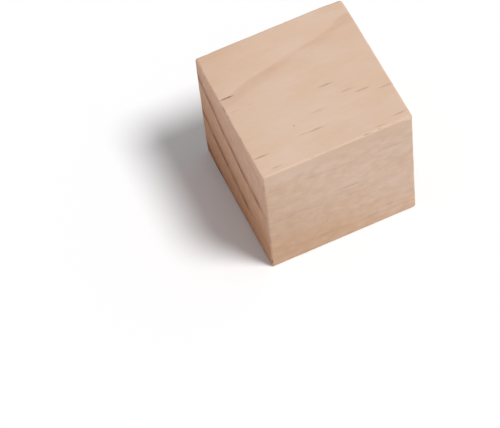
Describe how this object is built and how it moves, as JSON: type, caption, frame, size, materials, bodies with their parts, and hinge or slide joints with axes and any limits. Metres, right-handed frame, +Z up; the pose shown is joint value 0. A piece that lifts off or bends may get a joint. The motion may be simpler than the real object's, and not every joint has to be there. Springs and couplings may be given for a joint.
{
  "type": "wooden cube",
  "caption": "Small solid cube of unfinished pale softwood with lightly sanded edges, for stacking, gluing, painting or use as a spacer block.",
  "frame": {"origin": "centre of the bottom face, on the surface the cube stands on", "axes": "+X along the grain, towards the right end grain face; +Y towards the back face; +Z up, out of the top face"},
  "size_m": [0.03, 0.03, 0.03],
  "materials": {
    "pine": "planed and sanded, unfinished, matt"
  },
  "bodies": {
    "root": {"wooden_cube": "pine"}
  },
  "joints": []
}
